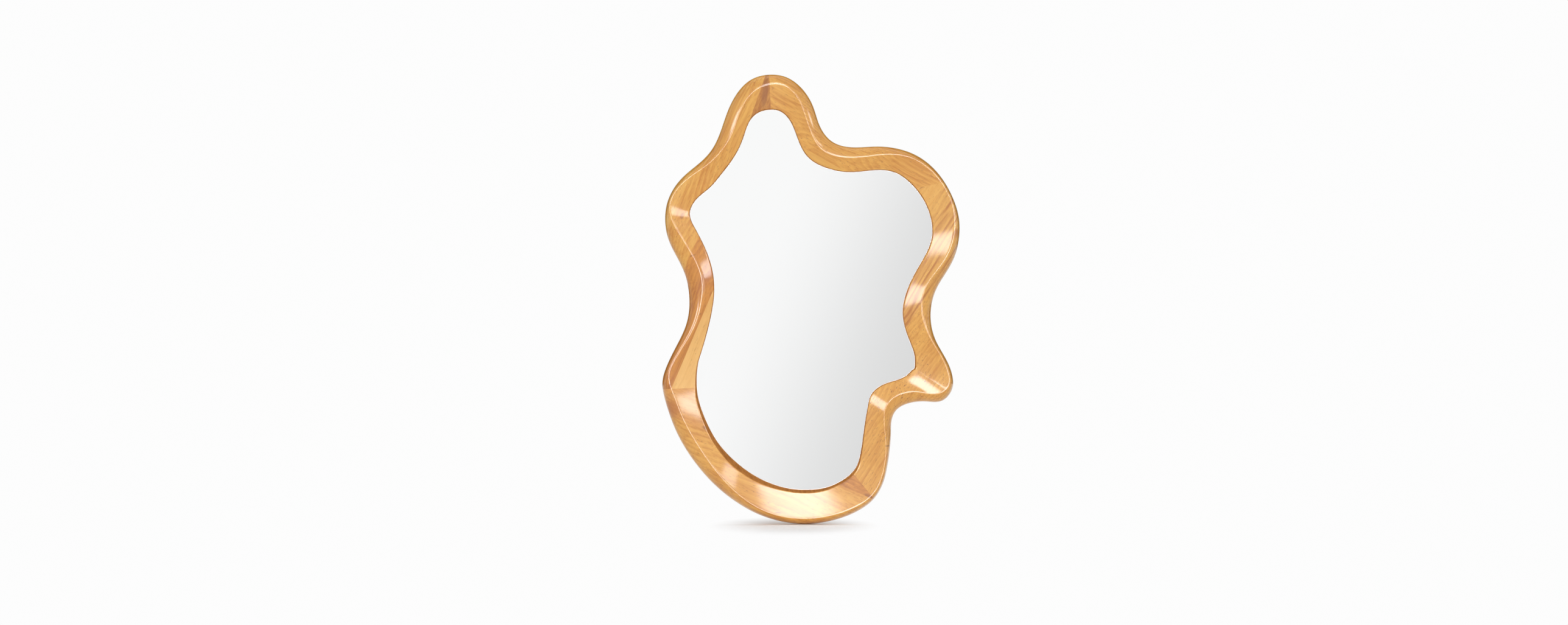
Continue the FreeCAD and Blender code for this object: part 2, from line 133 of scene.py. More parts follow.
SHEET_GAP = 0.75            # play between pane or panel and its rebate
SKIN_INSET = 0.25           # keeps the smooth skin inside the faceted solid's box
BACK_BREAK = 1.2            # small round at the back's outer edge
BREAK_SAMPLES = 3           # points on that round
BREAK_RUN = 1.6             # how far the round reaches inwards and upwards, in BACK_BREAKs
BREAK_RISE = 0.8
SKIN_LIFT_END = 4.0         # the skin starts a BACK_BREAK up, and above this isn't lifted
BACK_ROW = 9.0              # one more row of points on the flat back, this far from its edge

APEX_JOINT = ((-84.1, 276.0), (-80.7, 210.0))
UPPER_RIGHT_JOINT = ((268.0, 61.1), (210.7, 48.9))
LOWER_RIGHT_JOINT = ((126.4, -572.8), (83.6, -521.5))
LOWER_LEFT_JOINT = ((-296.1, -352.9), (-229.0, -350.5))
BLANKS = {
    "top": (-1.5, 12.0, APEX_JOINT, UPPER_RIGHT_JOINT),
    "right": (8.5, 31.0, UPPER_RIGHT_JOINT, LOWER_RIGHT_JOINT),
    "bottom": (27.5, 40.0, LOWER_RIGHT_JOINT, LOWER_LEFT_JOINT),
    "left": (36.5, 55.5, LOWER_LEFT_JOINT, APEX_JOINT),
}

# slopes of the boards in degrees, and the distance of each seam from the origin
LEFT_SLOPE = 67.0
SHOULDER_SEAM = 252.5
WAIST_SEAM = 188.8
INNER_SEAM = 119.7
APEX_SLOPE = 70.6
APEX_SEAM = 177.5
HALFWAY_LEVEL = 60.0        # the left main board is made in two halves that meet here
TOP_SLOPE = -29.4
BULGE_SEAM = 105.8
RIGHT_SLOPE = 58.0
CORNER_SEAM = -197.7
NOSE_SEAM = -284.4
BOTTOM_SLOPE = -22.3
DARK_SEAM = -483.1
LOWER_SEAM = -554.5
UPRIGHT = 90.0


# ------------------------------------------------------------------ smooth closed rails
def station_parameters():
    following = np.roll(STATIONS, -1, axis=0)
    outer = np.hypot(*(following[:, 0:2] - STATIONS[:, 0:2]).T)
    inner = np.hypot(*(following[:, 2:4] - STATIONS[:, 2:4]).T)
    return np.concatenate([[0.0], np.cumsum((outer + inner) / 2)])


PARAMETERS = station_parameters()


def closed_spline(values, places):
    """A periodic cubic spline through one row of values per station, at station numbers."""
    values = np.asarray(values, float)
    gaps = np.diff(PARAMETERS)
    before = np.roll(gaps, 1)
    rise = (np.roll(values, -1, axis=0) - values) / gaps[:, None]
    matrix = np.zeros((COUNT, COUNT))
    for i in range(COUNT):
        matrix[i, i] += 2 * (before[i] + gaps[i])
        matrix[i, (i - 1) % COUNT] += before[i]
        matrix[i, (i + 1) % COUNT] += gaps[i]
    bend = np.linalg.solve(matrix, 6 * (rise - np.roll(rise, 1, axis=0)))
    places = np.asarray(places, float) % COUNT
    i = np.minimum(places.astype(int), COUNT - 1)
    j = (i + 1) % COUNT
    gap = gaps[i][:, None]
    t = (places - i)[:, None] * gap
    u = gap - t
    return (
        (bend[i] * u ** 3 + bend[j] * t ** 3) / (6 * gap)
        + (values[i] / gap - bend[i] * gap / 6) * u
        + (values[j] / gap - bend[j] * gap / 6) * t
    )


def share_points(share):
    share = np.asarray(share)[:, None]
    return STATIONS[:, 0:2] * (1 - share) + STATIONS[:, 2:4] * share


STATION_WIDTH = np.hypot(*(STATIONS[:, 2:4] - STATIONS[:, 0:2]).T)


def rails(places):
    """Outer point, inward direction, width, ridge and lip distance and softness per place."""
    outer = closed_spline(STATIONS[:, 0:2], places)
    inner = closed_spline(STATIONS[:, 2:4], places)
    ridge_point = closed_spline(share_points(STATIONS[:, 4]), places)
    lip_point = closed_spline(share_points(1 - STATIONS[:, 5] / STATION_WIDTH), places)
    across = inner - outer
    width = np.hypot(*across.T)
    inward = across / width[:, None]
    ridge = ((ridge_point - outer) * inward).sum(1)
    lip = ((lip_point - outer) * inward).sum(1)
    places = np.asarray(places) % COUNT
    i = places.astype(int) % COUNT
    part = places - np.floor(places)
    part = part * part * (3 - 2 * part)
    soft = STATIONS[i, 6] * (1 - part) + STATIONS[(i + 1) % COUNT, 6] * part
    return outer, inward, width, ridge, lip, soft


# ------------------------------------------------------------------ the carved section
SIDE_SAMPLES = 12               # samples of each stretch of the line before it is smoothed
ARC_SAMPLES = 40
BAND_SAMPLES = 7
WALL_SAMPLES = 9
SKIN_SAMPLES = 96               # samples of the smoothed line
RIM_SAMPLES = 18                # of the skin's samples, those on the eased edge at the pane, which carry painted shade
RIM_START = 0.9                 # the painted shade along the pane starts this far past the lip
ROLL_END = math.radians(68)     # the outer roll stops short of level, so the ridge is a crest
SIDE_LEAN = 1.6                 # above 1, the outer side leans out more near the back
SKIN_SOFTNESS = 0.9             # rounding away from the ridge
CREST_SOFTNESS = 1.5            # the least rounding of the ridge, so it shows as a bright line
CREST_REACH = 14.0              # how far from the ridge its own rounding is felt
EDGE_CRISPNESS = 0.6            # share of the rounding that the edge at the pane does without
EDGE_REACH = 1.5
END_REACH = 2.5                 # the ends stay in place: this far from one, rounding is 1 mm
LEAST_SPREAD = 1e-3
# at the ridge, the lip and the edge: how much closer together samples sit, and how far around
SAMPLE_PULLS = ((2.2, 6.0), (2.0, 2.5), (2.0, 2.0))


def hump(places, centre, reach):
    """1 at the centre, falling off towards 0 on both sides."""
    return np.exp(-((places - centre) / reach) ** 2)


def raw_skin(width, ridge, lip):
    """The line before smoothing: run, height, length so far, and where ridge, lip and edge lie."""
    # the outer side leans out to the widest point, then rolls over to the ridge
    side = np.linspace(0, 1, SIDE_SAMPLES, endpoint=False)
    roll = np.linspace(0, ROLL_END, ARC_SAMPLES)
    run = [BACK_DRAFT * (1 - side) ** SIDE_LEAN]
    height = [SIDE_HEIGHT * side]
    run.append(ridge * (1 - np.cos(roll)) / (1 - math.cos(ROLL_END)))
    height.append(
        SIDE_HEIGHT + (RIDGE_HEIGHT - SIDE_HEIGHT) * np.sin(roll) / math.sin(ROLL_END)
    )
    # from the ridge it slopes to the lip, then falls to the edge and down to the pane
    slope = np.linspace(0, 1, ARC_SAMPLES + 1)[1:]
    run.append(ridge + (lip - ridge) * slope)
    height.append(RIDGE_HEIGHT + (LIP_HEIGHT - RIDGE_HEIGHT) * slope)
    edge = LIP_HEIGHT - LIP_FALL * (width - lip)
    band = np.linspace(0, 1, BAND_SAMPLES + 1)[1:]
    run.append(lip + (width - lip) * band)
    height.append(LIP_HEIGHT + (edge - LIP_HEIGHT) * band)
    wall = np.linspace(0, 1, WALL_SAMPLES + 1)[1:]
    run.append(width + 0 * wall)
    height.append(edge + (PANE_FLOOR - edge) * wall)
    run = np.concatenate(run)
    height = np.concatenate(height)
    path = np.concatenate([[0], np.cumsum(np.hypot(np.diff(run), np.diff(height)))])
    ridge_sample = SIDE_SAMPLES + ARC_SAMPLES - 1
    lip_sample = ridge_sample + ARC_SAMPLES
    edge_sample = lip_sample + BAND_SAMPLES
    return run, height, path, path[[ridge_sample, lip_sample, edge_sample]]


def carved_skin(width, ridge, lip, soft):
    """Run and height of the carved skin from the back's outer edge to the pane, as one line."""
    run, height, path, (ridge_at, lip_at, edge_at) = raw_skin(width, ridge, lip)
    dense = np.linspace(0, path[-1], 4 * SKIN_SAMPLES)
    crest = max(soft, CREST_SOFTNESS)
    spread = SKIN_SOFTNESS + (crest - SKIN_SOFTNESS) * hump(dense, ridge_at, CREST_REACH)
    spread *= 1 - EDGE_CRISPNESS * hump(dense, edge_at, EDGE_REACH)
    ends = np.minimum(dense, path[-1] - dense) / END_REACH
    spread = np.maximum(np.minimum(spread, ends), LEAST_SPREAD)
    weight = np.exp(-0.5 * ((dense[None, :] - dense[:, None]) / spread[:, None]) ** 2)
    weight /= weight.sum(1)[:, None]
    smooth_run = weight @ np.interp(dense, path, run)
    smooth_height = weight @ np.interp(dense, path, height)
    # samples sit closer together near the ridge and along the lip
    pull = np.ones(len(dense))
    for place, (strength, reach) in zip((ridge_at, lip_at, edge_at), SAMPLE_PULLS):
        pull += strength * hump(dense, place, reach)
    total = np.concatenate([[0], np.cumsum((pull[1:] + pull[:-1]) / 2)])
    rim_total = np.interp(lip_at + RIM_START, dense, total)
    at = np.interp(np.concatenate([
        np.linspace(0, rim_total, SKIN_SAMPLES - RIM_SAMPLES),
        np.linspace(rim_total, total[-1], RIM_SAMPLES + 1)[1:],
    ]), total, dense)
    return np.interp(at, dense, smooth_run), np.interp(at, dense, smooth_height)


def ring_section(width, ridge, lip, soft):
    """The whole closed section: the carved skin, then the rebates and the back."""
    run, height = carved_skin(width, ridge, lip, soft)
    run = run + SKIN_INSET * (1 - run / width)
    corners = [
        (width - PANE_REBATE, PANE_FLOOR),
        (width - PANE_REBATE, PANEL_FLOOR),
        (width - PANEL_REBATE, PANEL_FLOOR),
        (width - PANEL_REBATE, 0.0),
        (BACK_DRAFT + BACK_ROW, 0.0),
        (BACK_DRAFT + 2 * BACK_BREAK, 0.0),
    ]
    for angle in np.linspace(0, math.pi / 2, BREAK_SAMPLES + 2)[1:-1]:
        corners.append((
            BACK_DRAFT + BACK_BREAK * (2 - math.sin(angle) * BREAK_RUN),
            BACK_BREAK * (1 - math.cos(angle)) * BREAK_RISE,
        ))
    height = np.maximum(height, 0.0)
    height = height + BACK_BREAK * np.clip(1 - height / SKIN_LIFT_END, 0, 1)
    run = np.concatenate([run, [c[0] for c in corners]])
    height = np.concatenate([height, [c[1] for c in corners]])
    return run, height


def limb_mesh(first, last):
    """A closed bmesh of the ring between two station numbers, in metres."""
    rows = round((last - first) * STEPS)
    places = first + np.arange(rows + 1) / STEPS
    outer, inward, width, ridge, lip, soft = rails(places)
    grid = []
    for k in range(rows + 1):
        run, height = ring_section(width[k], ridge[k], lip[k], soft[k])
        xz = outer[k] + inward[k] * run[:, None]
        grid.append(np.column_stack([xz[:, 0], -height, xz[:, 1]]) * MM)
    mesh = bmesh.new()
    verts = [[mesh.verts.new(p) for p in row] for row in grid]
    size = len(grid[0])
    for a, b in zip(verts, verts[1:]):
        for j in range(size):
            k = (j + 1) % size
            face = mesh.faces.new((a[j], a[k], b[k], b[j]))
            # faces on the eased edge at the pane take the second material, which paints shade
            # there
            face.material_index = int(SKIN_SAMPLES - RIM_SAMPLES - 1 <= j < SKIN_SAMPLES)
    mesh.faces.new(verts[0])
    mesh.faces.new(list(reversed(verts[-1])))
    bmesh.ops.recalc_face_normals(mesh, faces=mesh.faces)
    return mesh


# ------------------------------------------------------------------ cutting along straight seams
def keep_side(mesh, point, normal):
    """Cuts along a plane, keeps the side that the normal points to, and closes the cut."""
    geometry = mesh.verts[:] + mesh.edges[:] + mesh.faces[:]
    cut = bmesh.ops.bisect_plane(
        mesh, geom=geometry, dist=CUT_SNAP, plane_co=point, plane_no=normal, clear_inner=True
    )
    edges = [e for e in cut["geom_cut"] if isinstance(e, bmesh.types.BMEdge)]
    edges = [e for e in edges if e.is_valid and len(e.link_faces) == 1]
    if edges:
        bmesh.ops.holes_fill(mesh, edges=edges, sides=0)
    return mesh


def joint_plane(start, end):
    """A point and the normal to the left of a line between two points x, z, in mm."""
    run = math.hypot(end[0] - start[0], end[1] - start[1])
    normal = Vector((-(end[1] - start[1]) / run, 0, (end[0] - start[0]) / run))
    return Vector((start[0] * MM, 0, start[1] * MM)), normal


def seam_plane(slope, offset):
    """A point and the normal of the seam of that slope, whose left side is kept."""
    angle = math.radians(slope)
    normal = Vector((-math.sin(angle), 0, math.cos(angle)))
    return normal * (offset * MM), normal


def above(mesh, plane):
    return keep_side(mesh.copy(), plane[0], plane[1])


def below(mesh, plane):
    return keep_side(mesh.copy(), plane[0], -plane[1])


def whole_blank(name):
    first, last, start_joint, end_joint = BLANKS[name]
    mesh = limb_mesh(first, last)
    keep_side(mesh, *joint_plane(*start_joint))
    keep_side(mesh, *joint_plane(*reversed(end_joint)))
    return mesh


def joined(first, second, plane):
    """Two halves of one board, welded where they were cut apart for the making."""
    point, normal = plane
    for half in (first, second):
        caps = [
            f for f in half.faces
            if all(abs((v.co - point).dot(normal)) < ON_PLANE for v in f.verts)
        ]
        bmesh.ops.delete(half, geom=caps, context="FACES_ONLY")
    scratch = bpy.data.meshes.new("scratch")
    second.to_mesh(scratch)
    first.from_mesh(scratch)
    bpy.data.meshes.remove(scratch)
    bmesh.ops.remove_doubles(first, verts=first.verts, dist=ON_PLANE)
    return first


def all_boards():
    boards = {}
    left = whole_blank("left")
    shoulder = seam_plane(LEFT_SLOPE, SHOULDER_SEAM)
    waist = seam_plane(LEFT_SLOPE, WAIST_SEAM)
    inner = seam_plane(LEFT_SLOPE, INNER_SEAM)
    apex = seam_plane(APEX_SLOPE, APEX_SEAM)
    level = seam_plane(0.0, HALFWAY_LEVEL)
    boards["left_board_shoulder"] = above(left, shoulder)
    rest = below(left, shoulder)
    upper = above(rest, level)
    lower = below(rest, level)
    boards["left_board_apex"] = below(upper, apex)
    boards["left_board_main"] = joined(above(upper, apex), above(lower, waist), level)
    under = below(lower, waist)
    boards["left_board_waist"] = above(under, inner)
    boards["left_board_inner"] = below(under, inner)
    top = whole_blank("top")
    bulge = seam_plane(TOP_SLOPE, BULGE_SEAM)
    boards["top_board_main"] = above(top, bulge)
    boards["top_board_bulge"] = below(top, bulge)
    right = whole_blank("right")
    corner = seam_plane(RIGHT_SLOPE, CORNER_SEAM)
    nose = seam_plane(RIGHT_SLOPE, NOSE_SEAM)
    boards["right_board_corner"] = above(right, corner)
    boards["right_board_striped"] = above(below(right, corner), nose)
    boards["right_board_nose"] = below(right, nose)
    bottom = whole_blank("bottom")
    dark = seam_plane(BOTTOM_SLOPE, DARK_SEAM)
    low = seam_plane(BOTTOM_SLOPE, LOWER_SEAM)
    upright = seam_plane(UPRIGHT, 0.0)
    ends = above(bottom, dark)
    boards["bottom_board_left"] = above(ends, upright)
    boards["bottom_board_right"] = below(ends, upright)
    boards["bottom_board_middle"] = above(below(bottom, dark), low)
    boards["bottom_board_lower"] = below(bottom, low)
    return boards


def finish_mesh(mesh, name, sharp=38.0):
    """Turns a bmesh into an object, smooth but for edges sharper than this many degrees."""
    bmesh.ops.remove_doubles(mesh, verts=mesh.verts, dist=WELD)
    wide = [f for f in mesh.faces if len(f.verts) > 4]
    if wide:
        bmesh.ops.triangulate(mesh, faces=wide)
    loose = [v for v in mesh.verts if not v.link_faces]
    if loose:
        bmesh.ops.delete(mesh, geom=loose, context="VERTS")
    bmesh.ops.recalc_face_normals(mesh, faces=mesh.faces)
    data = bpy.data.meshes.new(name)
    mesh.to_mesh(data)
    mesh.free()
    data.shade_smooth()
    data.set_sharp_from_angle(angle=math.radians(sharp))
    obj = bpy.data.objects.new(name, data)
    bpy.context.scene.collection.objects.link(obj)
    return obj


# ------------------------------------------------------------------ node helpers for materials
class Tree:
    """A short way to write the nodes of a material or of the world."""

    def __init__(self, owner, output_kind="ShaderNodeOutputMaterial"):
        self.owner = owner
        self.output_kind = output_kind
        owner.use_nodes = True
        self.nodes = owner.node_tree.nodes
        self.links = owner.node_tree.links
        self.nodes.clear()

    def put(self, socket, value):
        if isinstance(value, bpy.types.NodeSocket):
            self.links.new(value, socket)
        else:
            socket.default_value = value

    def node(self, kind, inputs=(), **settings):
        """A new node with these settings, its first inputs filled in order."""
        made = self.nodes.new(kind)
        for key, value in settings.items():
            setattr(made, key, value)
        for socket, value in zip(made.inputs, inputs):
            self.put(socket, value)
        return made

    def fed(self, kind, inputs):
        """The first output of a new node whose inputs are given by name."""
        made = self.nodes.new(kind)
        for name, value in inputs.items():
            self.put(made.inputs[name], value)
        return made.outputs[0]

    def math(self, operation, a, b=0.0, clamp=False):
        return self.node("ShaderNodeMath", (a, b), operation=operation,
                         use_clamp=clamp).outputs[0]

    def add(self, *values):
        total = values[0]
        for value in values[1:]:
            total = self.math("ADD", total, value)
        return total

    def minus(self, a, b):
        return self.math("SUBTRACT", a, b)

    def times(self, a, b):
        return self.math("MULTIPLY", a, b)

    def over(self, a, b):
        return self.math("DIVIDE", a, b)

    def weighted(self, a, share_a, b, share_b):
        """The sum of a and b, each times its share."""
        return self.add(self.times(a, share_a), self.times(b, share_b))

    def length(self, a, b):
        return self.math("SQRT", self.weighted(a, a, b, b))

    def mix(self, factor, a, b):
        made = self.node("ShaderNodeMix", data_type="RGBA")
        self.put(made.inputs[0], factor)
        self.put(made.inputs[6], a)
        self.put(made.inputs[7], b)
        return made.outputs[2]

    def mix_shaders(self, factor, a, b):
        return self.node("ShaderNodeMixShader", (factor, a, b)).outputs[0]

    def ramp(self, value, low, high, start=0.0, end=1.0):
        return self.node("ShaderNodeMapRange", (value, low, high, start, end),
                         interpolation_type="SMOOTHSTEP").outputs[0]

    def noise(self, vector, scale, detail=2.0, roughness=0.5):
        return self.fed("ShaderNodeTexNoise", {
            "Vector": vector, "Scale": scale, "Detail": detail, "Roughness": roughness})

    def bump(self, height, strength, distance):
        return self.fed("ShaderNodeBump", {
            "Height": height, "Strength": strength, "Distance": distance})

    def combine(self, x, y, z):
        return self.node("ShaderNodeCombineXYZ", (x, y, z)).outputs[0]

    def position(self):
        return self.node("ShaderNodeTexCoord").outputs["Object"]

    def coordinates(self):
        return self.node("ShaderNodeSeparateXYZ", (self.position(),)).outputs

    def seen_directly(self):
        """1 for camera, glossy and transmission rays, 0 for the rays that carry light."""
        rays = self.node("ShaderNodeLightPath").outputs
        seen = self.math("MAXIMUM", rays["Is Camera Ray"], rays["Is Glossy Ray"])
        return self.math("MAXIMUM", seen, rays["Is Transmission Ray"])

    def output(self, shader):
        self.node(self.output_kind, (shader,))
        return self.owner


def material_tree(name):
    return Tree(bpy.data.materials.new(name))


def srgb(red, green, blue):
    """A colour written as on screen, 0 to 255, as linear values."""
    values = []
    for value in (red, green, blue):
        value /= 255
        values.append(value / 12.92 if value < 0.04045 else ((value + 0.055) / 1.055) ** 2.4)
    return (*values, 1.0)


# ------------------------------------------------------------------ lacquered wood
def with_marks(tree, colour, x, z, slope, ragged, marks):
    """The colour with soft spots of another tone painted over it."""
    for mark_x, mark_z, long, wide, strength, mark_colour, *own in marks:
        turn = math.radians(own[0] if own else slope)
        off_x = tree.minus(tree.times(x, PER_METRE), mark_x)
        off_z = tree.minus(tree.times(z, PER_METRE), mark_z)
        a = tree.weighted(off_x, math.cos(turn) / long, off_z, math.sin(turn) / long)
        b = tree.weighted(off_x, -math.sin(turn) / wide, off_z, math.cos(turn) / wide)
        distance = tree.length(tree.add(a, ragged), b)
        spot = tree.ramp(distance, 0.45, 1.1, strength, 0.0)
        colour = tree.mix(spot, colour, mark_colour)
    return colour


def lacquered(tree, colour, fibre, dash, matt):
    """Clear lacquer over the wood, which lies smooth, with the pores as faint dents."""
    dents = tree.minus(tree.times(fibre, 0.25), dash)
    ripple = tree.noise(tree.position(), 30.0, 1.0, 0.4)
    return tree.output(tree.fed("ShaderNodeBsdfPrincipled", {
        "Base Color": colour,
        "Normal": tree.bump(dents, 0.10, 0.0002),
        "Coat Normal": tree.bump(ripple, 0.10, 0.0012),
        "Roughness": tree.add(tree.times(fibre, 0.12), 0.36),
        "IOR": 1.45,
        "Specular IOR Level": 0.08 if matt else 0.3,
        "Coat Weight": 0.0 if matt else 1.0,
        "Coat Roughness": 0.09,
        "Coat IOR": 1.52,
    }))


# how strongly each layer of the grain darkens the wood
BROAD_SHARE = 0.22
BAND_SHARE = 0.50
STREAK_SHARE = 0.34
THIN_STREAK_SHARE = 0.42
FIBRE_SHARE = 0.34
PORE_SHARE = 0.50
RAGGEDNESS = 1.3            # how far the streaks fray a mark's outline
PORE_COLOUR = srgb(150, 88, 34)


def wood(name, slope, light, dark, seed=0.0, rings=7.0, ring_depth=150.0, contrast=1.0,
         speckle=1.0, stripe=0.0, stripe_pitch=9.0, waver=14.0, marks=(), matt=False):
    """Clear-lacquered wood whose grain runs at this slope in the frame's plane.

    rings is the width of the yearly bands and ring_depth how far behind the frame their
    centre lies, both in mm. marks are soft spots of another tone: x, z, radius along the
    grain, radius across it, strength, colour, and a slope where it isn't the grain's.
    """
    tree = material_tree(name)
    x, y, z = tree.coordinates()
    cos = math.cos(math.radians(slope)) * PER_METRE
    sin = math.sin(math.radians(slope)) * PER_METRE
    along = tree.weighted(x, cos, z, sin)
    aside = tree.weighted(x, -sin, z, cos)
    depth = tree.times(y, PER_METRE)
    # slow waver of the grain
    slow = tree.noise(
        tree.combine(tree.times(along, 0.005), tree.times(aside, 0.012),
                     tree.add(tree.times(depth, 0.012), seed)), 1.0)
    side = tree.add(aside, tree.times(tree.minus(slow, 0.5), waver))

    def grain(along_scale, side_scale, shift, detail=2.0, roughness=0.5):
        """Noise with these scales per mm along and across the grain."""
        return tree.noise(
            tree.combine(tree.times(along, along_scale), tree.times(side, side_scale),
                         tree.add(tree.times(depth, side_scale), seed + shift)),
            1.0, detail, roughness)

    # yearly bands round a far centre line, cut open by the carving
    radius = tree.length(side, tree.add(depth, ring_depth))
    phase = tree.add(tree.over(radius, rings), tree.times(grain(0.006, 0.05, 2.0), 1.1))
    saw = tree.math("FRACT", tree.add(phase, seed))
    band = tree.minus(tree.ramp(saw, 0.0, 0.80), tree.ramp(saw, 0.84, 1.0))
    fade = tree.ramp(grain(0.010, 0.045, 37.0, 1.0), 0.35, 0.62, 0.25, 1.0)
    # broad tone, streaks and fibres
    broad = grain(0.006, 0.030, 7.0)
    streak = grain(0.006, 0.095, 11.0, 2.0, 0.55)
    thin_streak = grain(0.010, 0.36, 13.0, 2.0, 0.6)
    fibre = grain(0.035, 1.30, 17.0, 2.0, 0.6)
    tone = tree.add(
        tree.times(tree.ramp(broad, 0.32, 0.68), BROAD_SHARE),
        tree.times(tree.times(band, fade), BAND_SHARE * contrast),
        tree.times(tree.ramp(streak, 0.44, 0.66), STREAK_SHARE * contrast),
        tree.times(tree.ramp(thin_streak, 0.44, 0.68), THIN_STREAK_SHARE * contrast),
        tree.times(tree.minus(fibre, 0.5), FIBRE_SHARE),
    )
    if stripe:
        shift = tree.times(grain(0.004, 0.05, 31.0, 1.0, 0.4), 2.2)
        wave = tree.math("FRACT", tree.add(tree.over(side, stripe_pitch), shift))
        line = tree.minus(tree.ramp(wave, 0.25, 0.72), tree.ramp(wave, 0.74, 0.98))
        gate = tree.ramp(grain(0.009, 0.040, 41.0, 1.0), 0.38, 0.58, 0.30, 1.0)
        tone = tree.add(tone, tree.times(tree.times(line, gate), stripe))
    tone = tree.math("MULTIPLY", tone, 1.0, clamp=True)
    ragged = tree.times(tree.minus(streak, 0.5), RAGGEDNESS)
    colour = with_marks(tree, tree.mix(tone, light, dark), x, z, slope, ragged, marks)
    # pores, as short dashes that come and go
    pores = grain(0.13, 0.62, 23.0, 0.0)
    pore_gate = grain(0.012, 0.07, 29.0, 1.0)
    dash = tree.times(tree.ramp(pores, 0.69, 0.76), tree.ramp(pore_gate, 0.35, 0.65, 0.15, 1.0))
    colour = tree.mix(tree.times(dash, PORE_SHARE * speckle), colour, PORE_COLOUR)
    return lacquered(tree, colour, fibre, dash, matt)


KNOT = srgb(168, 98, 40)
UMBER = srgb(150, 86, 34)
RUSSET = srgb(182, 104, 44)
CREAM = srgb(240, 192, 132)

WOODS = {
    "left_board_main": dict(
        slope=LEFT_SLOPE, light=srgb(233, 175, 79), dark=srgb(205, 132, 41), seed=1.3,
        marks=((-258.3, -7.3, 8, 4.5, 0.65, KNOT),)),
    "left_board_shoulder": dict(
        slope=LEFT_SLOPE, light=srgb(238, 184, 91), dark=srgb(214, 144, 53), seed=2.1,
        contrast=0.8,
        marks=((-258.3, -7.3, 8, 4.5, 0.65, KNOT),)),
    "left_board_waist": dict(
        slope=LEFT_SLOPE, light=srgb(216, 144, 50), dark=srgb(184, 108, 28), seed=3.7,
        speckle=1.2,
        marks=((-203, -124, 34, 8, 0.6, RUSSET), (-243, -88, 16, 2, 0.6, UMBER, 20))),
    "left_board_inner": dict(
        slope=LEFT_SLOPE, light=srgb(239, 187, 108), dark=srgb(222, 160, 76), seed=4.2,
        contrast=0.6, speckle=0.6),
    "left_board_apex": dict(
        slope=71, light=srgb(210, 146, 59), dark=srgb(176, 106, 31), seed=5.9, contrast=1.1,
        marks=((-92, 240, 38, 7, 0.7, UMBER, 84),)),
    "top_board_main": dict(
        slope=TOP_SLOPE, light=srgb(232, 172, 77), dark=srgb(198, 126, 39), seed=6.4,
        rings=6.0, contrast=0.85, speckle=1.3),
    "top_board_bulge": dict(
        slope=TOP_SLOPE, light=srgb(230, 174, 81), dark=srgb(210, 144, 57), seed=7.7,
        contrast=0.6, speckle=0.5),
    "right_board_corner": dict(
        slope=RIGHT_SLOPE, light=srgb(234, 178, 87), dark=srgb(216, 150, 59), seed=8.1,
        contrast=0.7,
        marks=((233, 58, 22, 1.8, 0.6, UMBER, 32),)),
    "right_board_striped": dict(
        slope=RIGHT_SLOPE, light=srgb(233, 176, 83), dark=srgb(184, 110, 31), seed=9.2,
        contrast=0.45, stripe=0.72, stripe_pitch=11.0),
    "right_board_nose": dict(
        slope=RIGHT_SLOPE, light=srgb(232, 172, 77), dark=srgb(202, 132, 43), seed=10.6,
        speckle=2.0, contrast=0.8, marks=((152, -466.5, 6, 1.4, 0.8, UMBER, 0),)),
    "bottom_board_left": dict(
        slope=BOTTOM_SLOPE, light=srgb(228, 164, 81), dark=srgb(198, 124, 47), seed=11.4,
        contrast=0.7,
        marks=((-278, -390, 26, 15, 0.6, RUSSET, -60), (-211, -431, 10, 5, 0.7, UMBER),
               (-243, -388, 44, 13, 0.5, CREAM, -38))),
    "bottom_board_right": dict(
        slope=BOTTOM_SLOPE, light=srgb(218, 148, 63), dark=srgb(182, 108, 33), seed=12.8,
        marks=((66, -536, 22, 8, 0.6, UMBER, 40), (115, -567, 11, 5, 0.7, UMBER))),
    "bottom_board_middle": dict(
        slope=BOTTOM_SLOPE, light=srgb(235, 176, 83), dark=srgb(202, 130, 45), seed=13.5,
        rings=9.0, contrast=0.8),
    "bottom_board_lower": dict(
        slope=BOTTOM_SLOPE, light=srgb(232, 172, 79), dark=srgb(200, 128, 45), seed=14.9,
        rings=9.0, contrast=0.8, speckle=1.3,
        marks=((-65, -600, 9, 1.6, 0.85, UMBER, -8),)),
}
DARK_WOOD = {"left_board_waist", "left_board_apex", "bottom_board_left", "bottom_board_right"}

# painted shade: the eased edge along the pane is coloured darker for the shade that falls there
PAINTED_SHADE_RIM = wood("wood_rim_painted_shade", slope=LEFT_SLOPE, light=srgb(178, 118, 58), dark=srgb(148, 92, 40),
           seed=16.3, matt=True)

for node, mesh in all_boards().items():
    board = finish_mesh(mesh, "carved_" + node)
    board.data.materials.append(wood("wood_" + node, **WOODS[node]))
    # the second material paints shade on the eased edge at the pane
    board.data.materials.append(PAINTED_SHADE_RIM)
    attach(board, "mirror")
    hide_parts(node)
    if node in DARK_WOOD:
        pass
    elif node == "right_board_striped":
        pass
    else:
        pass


# ------------------------------------------------------------------ other materials
PANE_SILVER = (0.955, 0.96, 0.96, 1)


def mirror_material():
    tree = material_tree("silvered_pane")
    smear = tree.noise(tree.position(), 9.0, 3.0, 0.6)
    return tree.output(tree.fed("ShaderNodeBsdfPrincipled", {
        "Roughness": tree.ramp(smear, 0.35, 0.8, 0.004, 0.02),
        "Base Color": PANE_SILVER,
        "Metallic": 1.0,
    }))


def plain_material(name, light, dark, scale, rough=(0.4, 0.6), metallic=0.0, stretch=(1, 1, 1),
                   bump_strength=0.2, bump_distance=0.0002, detail=3.0):
    """A surface with mottling, grain and uneven gloss from one stretched noise."""
    tree = material_tree(name)
    vector = tree.fed("ShaderNodeMapping", {"Vector": tree.position(), "Scale": stretch})
    grain = tree.noise(vector, scale, detail, 0.6)
    return tree.output(tree.fed("ShaderNodeBsdfPrincipled", {
        "Base Color": tree.mix(tree.ramp(grain, 0.3, 0.7), light, dark),
        "Roughness": tree.ramp(grain, 0.3, 0.7, *rough),
        "Metallic": metallic,
        "Normal": tree.bump(grain, bump_strength, bump_distance),
    }))


def dress(node, material):
    obj = nodes[node]
    obj.data.materials.clear()
    obj.data.materials.append(material)


